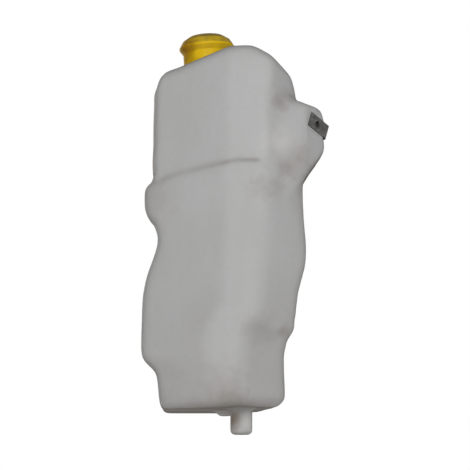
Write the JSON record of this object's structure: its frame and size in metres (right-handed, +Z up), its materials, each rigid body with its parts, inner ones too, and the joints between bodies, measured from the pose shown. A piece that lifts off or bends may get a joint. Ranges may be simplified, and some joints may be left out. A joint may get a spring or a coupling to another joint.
{
  "type": "windscreen washer reservoir",
  "caption": "Tall waisted translucent plastic tank with a push-on yellow filler cap, a fixing lug with a spring nut, a locating peg underneath and a pump grommet low on the back.",
  "frame": {"origin": "on the axis of the locating peg, at the underside of the tank where the peg starts", "axes": "+Z up along the locating peg, -Y to the front of the tank, +X to the side of the fixing lug"},
  "size_m": [0.1893, 0.1191, 0.4108],
  "materials": {
    "tank_plastic": "satin, cloudy natural polyethylene",
    "cap_plastic": "smooth moulded",
    "nut_steel": "dark phosphate coat",
    "grommet_rubber": "matte"
  },
  "bodies": {
    "reservoir": {"tank": "tank_plastic", "spring_nut": "nut_steel", "pump_grommet": "grommet_rubber"},
    "cap": {"filler_cap": "cap_plastic"}
  },
  "joints": [
    {"name": "cap_lift", "type": "slide", "parent": "reservoir", "child": "cap", "axis": [-0.0698, 0, 0.9976], "range_m": [0, 0.04]}
  ]
}
